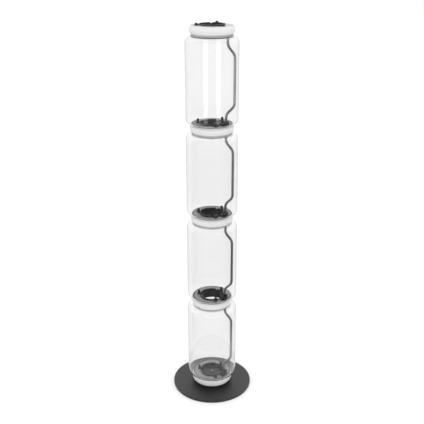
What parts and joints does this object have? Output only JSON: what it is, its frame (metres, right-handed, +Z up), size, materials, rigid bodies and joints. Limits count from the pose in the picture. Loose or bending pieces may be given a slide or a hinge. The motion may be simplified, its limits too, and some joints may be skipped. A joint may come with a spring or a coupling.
{
  "type": "floor lamp",
  "caption": "Tall floor lamp of stacked clear glass cylinders on ring-shaped light joints, with bent conduit rods inside and a round flat steel base.",
  "frame": {"origin": "middle of the round footprint, on the floor", "axes": "+Z up along the stack, -Y towards the viewer of the picture, +X to the right"},
  "size_m": [0.4079, 0.408, 1.8845],
  "materials": {
    "pad_rubber": "matt black rubber ring",
    "base_steel": "dark grey fine-textured powder coat on steel",
    "zinc_steel": "zinc-plated steel",
    "polished_nut": "polished",
    "cover_metal": "satin dark grey",
    "driver_case": "white moulded case",
    "inlet_rubber": "black rubber bush",
    "clear_seal": "translucent silicone",
    "grey_gasket": "dark grey silicone",
    "light_strip": "flexible light strip",
    "cast_aluminium": "grey satin casting",
    "white_metal": "satin white paint",
    "frosted_plastic": "frosted translucent",
    "black_metal": "gloss black",
    "satin_steel": "satin grey metal tube",
    "foot_metal": "black",
    "clear_glass": "clear blown glass",
    "knob_metal": "dark satin metal"
  },
  "bodies": {
    "root": {"floor_pad": "pad_rubber", "base_plate": "base_steel", "base_screws": "zinc_steel", "cover_stud": "zinc_steel", "dome_nut": "polished_nut", "base_cover": "cover_metal", "driver": "driver_case", "cable_inlet": "inlet_rubber", "base_spacer": "foot_metal", "rim_seals": "clear_seal", "neck_gaskets": "grey_gasket", "led_rings": "light_strip", "carrier_1": "cast_aluminium", "carrier_2": "cast_aluminium", "carrier_3": "cast_aluminium", "carrier_4": "cast_aluminium", "carrier_5": "cast_aluminium", "collar_1": "white_metal", "collar_2": "white_metal", "collar_3": "white_metal", "collar_4": "white_metal", "collar_5": "white_metal", "diffuser_1": "frosted_plastic", "diffuser_2": "frosted_plastic", "diffuser_3": "frosted_plastic", "diffuser_4": "frosted_plastic", "diffuser_5": "frosted_plastic", "hub_1": "black_metal", "hub_2": "black_metal", "hub_3": "black_metal", "hub_4": "black_metal", "hub_5": "black_metal", "rod_1": "satin_steel", "rod_2": "satin_steel", "rod_3": "satin_steel", "rod_4": "satin_steel", "rod_foot_1": "foot_metal", "rod_foot_2": "foot_metal", "rod_foot_3": "foot_metal", "rod_foot_4": "foot_metal", "glass_1": "clear_glass", "glass_2": "clear_glass", "glass_3": "clear_glass", "glass_4": "clear_glass"},
    "knob_1a": {"knob_1a": "knob_metal"},
    "knob_1b": {"knob_1b": "knob_metal"},
    "knob_1c": {"knob_1c": "knob_metal"},
    "knob_2a": {"knob_2a": "knob_metal"},
    "knob_2b": {"knob_2b": "knob_metal"},
    "knob_2c": {"knob_2c": "knob_metal"},
    "knob_3a": {"knob_3a": "knob_metal"},
    "knob_3b": {"knob_3b": "knob_metal"},
    "knob_3c": {"knob_3c": "knob_metal"},
    "knob_4a": {"knob_4a": "knob_metal"},
    "knob_4b": {"knob_4b": "knob_metal"},
    "knob_4c": {"knob_4c": "knob_metal"},
    "knob_5a": {"knob_5a": "knob_metal"},
    "knob_5b": {"knob_5b": "knob_metal"},
    "knob_5c": {"knob_5c": "knob_metal"}
  },
  "joints": [
    {"name": "knob_1a_turn", "type": "hinge", "parent": "root", "child": "knob_1a", "pos_m": [0.04879, 0.04879, 0.07], "axis": [0, 0, 1], "range_deg": [0, 90]},
    {"name": "knob_1b_turn", "type": "hinge", "parent": "root", "child": "knob_1b", "pos_m": [-0.06665, 0.01786, 0.07], "axis": [0, 0, 1], "range_deg": [0, 90]},
    {"name": "knob_1c_turn", "type": "hinge", "parent": "root", "child": "knob_1c", "pos_m": [0.01786, -0.06665, 0.07], "axis": [0, 0, 1], "range_deg": [0, 90]},
    {"name": "knob_2a_turn", "type": "hinge", "parent": "root", "child": "knob_2a", "pos_m": [0.04879, 0.04879, 0.5215], "axis": [0, 0, 1], "range_deg": [0, 90]},
    {"name": "knob_2b_turn", "type": "hinge", "parent": "root", "child": "knob_2b", "pos_m": [-0.06665, 0.01786, 0.5215], "axis": [0, 0, 1], "range_deg": [0, 90]},
    {"name": "knob_2c_turn", "type": "hinge", "parent": "root", "child": "knob_2c", "pos_m": [0.01786, -0.06665, 0.5215], "axis": [0, 0, 1], "range_deg": [0, 90]},
    {"name": "knob_3a_turn", "type": "hinge", "parent": "root", "child": "knob_3a", "pos_m": [0.04879, 0.04879, 0.973], "axis": [0, 0, 1], "range_deg": [0, 90]},
    {"name": "knob_3b_turn", "type": "hinge", "parent": "root", "child": "knob_3b", "pos_m": [-0.06665, 0.01786, 0.973], "axis": [0, 0, 1], "range_deg": [0, 90]},
    {"name": "knob_3c_turn", "type": "hinge", "parent": "root", "child": "knob_3c", "pos_m": [0.01786, -0.06665, 0.973], "axis": [0, 0, 1], "range_deg": [0, 90]},
    {"name": "knob_4a_turn", "type": "hinge", "parent": "root", "child": "knob_4a", "pos_m": [0.04879, 0.04879, 1.4245], "axis": [0, 0, 1], "range_deg": [0, 90]},
    {"name": "knob_4b_turn", "type": "hinge", "parent": "root", "child": "knob_4b", "pos_m": [-0.06665, 0.01786, 1.4245], "axis": [0, 0, 1], "range_deg": [0, 90]},
    {"name": "knob_4c_turn", "type": "hinge", "parent": "root", "child": "knob_4c", "pos_m": [0.01786, -0.06665, 1.4245], "axis": [0, 0, 1], "range_deg": [0, 90]},
    {"name": "knob_5a_turn", "type": "hinge", "parent": "root", "child": "knob_5a", "pos_m": [0.02225, 0.06848, 1.876], "axis": [0, 0, 1], "range_deg": [0, 90]},
    {"name": "knob_5b_turn", "type": "hinge", "parent": "root", "child": "knob_5b", "pos_m": [-0.07043, -0.01497, 1.876], "axis": [0, 0, 1], "range_deg": [0, 90]},
    {"name": "knob_5c_turn", "type": "hinge", "parent": "root", "child": "knob_5c", "pos_m": [0.04818, -0.05351, 1.876], "axis": [0, 0, 1], "range_deg": [0, 90]}
  ]
}
